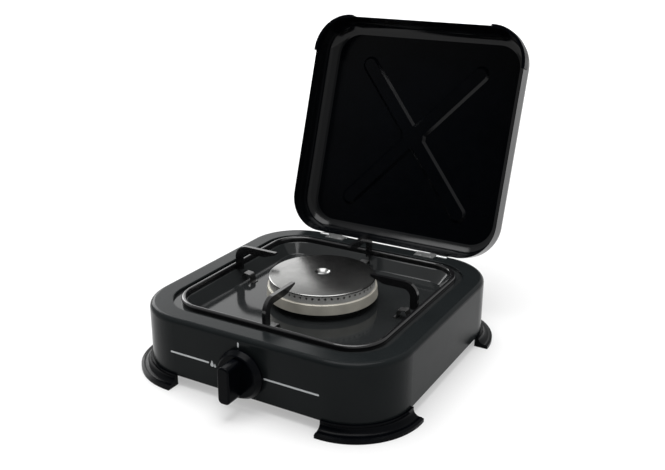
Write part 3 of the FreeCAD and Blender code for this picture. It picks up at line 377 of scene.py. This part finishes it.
def make_world():
    """White behind and to the right, dark in front on the left; white to the camera."""
    world = bpy.data.worlds.new("surround")
    bpy.context.scene.world = world
    world.use_nodes = True
    tree = world.node_tree
    tree.nodes.clear()
    output = tree.nodes.new("ShaderNodeOutputWorld")
    coords = tree.nodes.new("ShaderNodeTexCoord")
    split = tree.nodes.new("ShaderNodeSeparateXYZ")
    tree.links.new(coords.outputs["Generated"], split.inputs["Vector"])
    behind = brighten(tree, split.outputs["Y"], *BEHIND)
    beside = brighten(tree, split.outputs["X"], *BESIDE)
    strongest = tree.nodes.new("ShaderNodeMath")
    strongest.operation = "MAXIMUM"
    tree.links.new(behind, strongest.inputs[0])
    tree.links.new(beside, strongest.inputs[1])
    soft = tree.nodes.new("ShaderNodeBackground")
    tree.links.new(strongest.outputs["Value"], soft.inputs["Strength"])
    white = tree.nodes.new("ShaderNodeBackground")
    white.inputs["Color"].default_value = WHITE
    white.inputs["Strength"].default_value = 1.0
    path = tree.nodes.new("ShaderNodeLightPath")
    choose = tree.nodes.new("ShaderNodeMixShader")
    tree.links.new(path.outputs["Is Camera Ray"], choose.inputs["Fac"])
    tree.links.new(soft.outputs["Background"], choose.inputs[1])
    tree.links.new(white.outputs["Background"], choose.inputs[2])
    tree.links.new(choose.outputs["Shader"], output.inputs["Surface"])


def add_lamp(name, at, size, power):
    """A square soft lamp aimed at the burner."""
    data = bpy.data.lights.new(name, "AREA")
    data.size = size
    data.energy = power
    lamp = bpy.data.objects.new(name, data)
    lamp.location = at
    aim = BURNER_AT - Vector(at)
    lamp.rotation_mode = "QUATERNION"
    lamp.rotation_quaternion = aim.to_track_quat("-Z", "Y")
    bpy.context.scene.collection.objects.link(lamp)


# Printed marks on the front face

FRONT_Y = -140.0 * MM
PRINT = 0.05 * MM
LINE_Z = 35.3 * MM
LINE_W = 1.8 * MM
LINES = {"mark_line_left": (-85.3 * MM, -40.1 * MM), "mark_line_right": (21.0 * MM, 78.6 * MM)}
TICK_X = -6.2 * MM
TICK_W = 1.7 * MM
TICK_Z = (59.7 * MM, 64.8 * MM)
CORNER_STEPS = 8
FLAME_STEPS = 20
FLAME_WIDTH = 0.31
FLAME_PINCH = 0.35
FLAMES = ((-36.6 * MM, 31.9 * MM, 6.4 * MM), (-33.3 * MM, 31.9 * MM, 3.8 * MM))


def printed(name, outlines):
    """A flat print: closed outlines in the front face's plane, as thin as paint."""
    mesh = bpy.data.meshes.new(name)
    shape = bmesh.new()
    for outline in outlines:
        back = [shape.verts.new((x, FRONT_Y, z)) for x, z in outline]
        front = [shape.verts.new((x, FRONT_Y - PRINT, z)) for x, z in outline]
        shape.faces.new(front)
        shape.faces.new(list(reversed(back)))
        for i in range(len(outline)):
            j = (i + 1) % len(outline)
            shape.faces.new((front[i], back[i], back[j], front[j]))
    bmesh.ops.recalc_face_normals(shape, faces=shape.faces)
    shape.to_mesh(mesh)
    shape.free()
    piece = bpy.data.objects.new(name, mesh)
    bpy.context.scene.collection.objects.link(piece)
    mesh.materials.append(INK)
    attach(piece, "stove_body")


def stadium(x0, x1, z0, z1):
    """A bar with round ends along its longer side."""
    radius = min(x1 - x0, z1 - z0) / 2
    middles = ((x1 - radius, z1 - radius), (x0 + radius, z1 - radius),
               (x0 + radius, z0 + radius), (x1 - radius, z0 + radius))
    outline = []
    for quarter, (mx, mz) in enumerate(middles):
        for i in range(CORNER_STEPS + 1):
            angle = math.pi / 2 * (quarter + i / CORNER_STEPS)
            outline.append((mx + radius * math.cos(angle), mz + radius * math.sin(angle)))
    return outline


def flame(x, low, height):
    """A drop with its point up."""
    radius = height * FLAME_WIDTH
    outline = []
    for i in range(FLAME_STEPS):
        angle = 2 * math.pi * i / FLAME_STEPS - math.pi / 2
        lift = (height - 2 * radius) * max(0.0, math.sin(angle)) ** 3
        narrow = 1.0 - FLAME_PINCH * max(0.0, math.sin(angle))
        across = x + radius * narrow * math.cos(angle)
        outline.append((across, low + radius * (1 + math.sin(angle)) + lift))
    return outline


def print_marks():
    """The two lines, the off tick and the flames."""
    for name, (x0, x1) in LINES.items():
        printed(name, [stadium(x0, x1, LINE_Z - LINE_W / 2, LINE_Z + LINE_W / 2)])
    printed("mark_tick", [stadium(TICK_X - TICK_W / 2, TICK_X + TICK_W / 2, *TICK_Z)])
    printed("mark_flames", [flame(*size) for size in FLAMES])


dress_nodes()
print_marks()
make_camera()
make_floor()
make_world()
for lamp, settings in LAMPS.items():
    add_lamp(lamp, *settings)
bpy.context.scene.view_settings.view_transform = "Standard"
